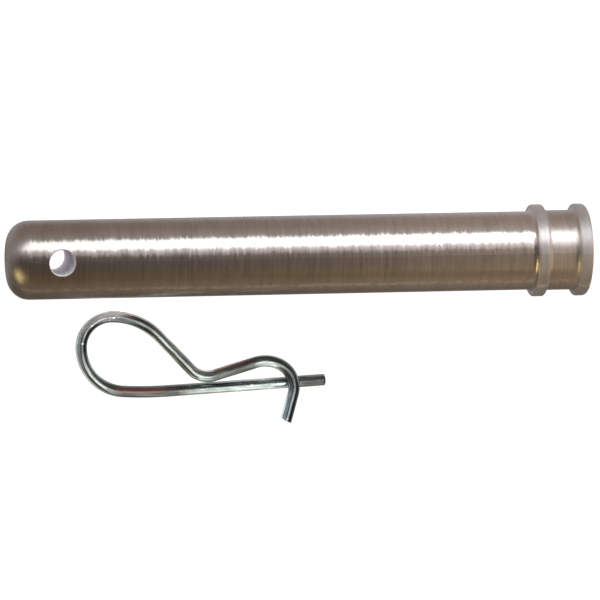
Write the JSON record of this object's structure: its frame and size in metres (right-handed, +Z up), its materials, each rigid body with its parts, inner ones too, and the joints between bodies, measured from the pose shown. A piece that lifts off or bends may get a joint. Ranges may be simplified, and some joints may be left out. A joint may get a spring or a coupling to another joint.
{
  "type": "hitch pin with spring clip",
  "caption": "Turned steel hitch pin with a round nose, a cross hole and a collared head, and the bent-wire spring clip that secures it.",
  "frame": {"origin": "where the axis of the cross hole crosses the axis of the pin", "axes": "+X along the pin from the nose to the head, +Z along the cross hole, so the pin and the clip lie flat with +Z up"},
  "size_m": [0.118, 0.0439, 0.0186],
  "materials": {
    "turned_steel": "satin, fine lathe marks around the shank",
    "plated_wire": "bright zinc-plated spring wire"
  },
  "bodies": {
    "pin": {"hitch_pin": "turned_steel"},
    "clip": {"clip_straight_leg": "plated_wire"},
    "clip_arm": {"clip_spring_arm": "plated_wire"}
  },
  "joints": [
    {"name": "clip_lift", "type": "slide", "parent": "pin", "child": "clip", "axis": [0, 0, 1], "range_m": [0, 0.06]},
    {"name": "clip_flex", "type": "hinge", "parent": "clip", "child": "clip_arm", "pos_m": [0.00471, -0.01861, -0.00813], "axis": [0, 0, 1], "range_deg": [0, 20], "stiffness_Nm_per_rad": 9}
  ]
}
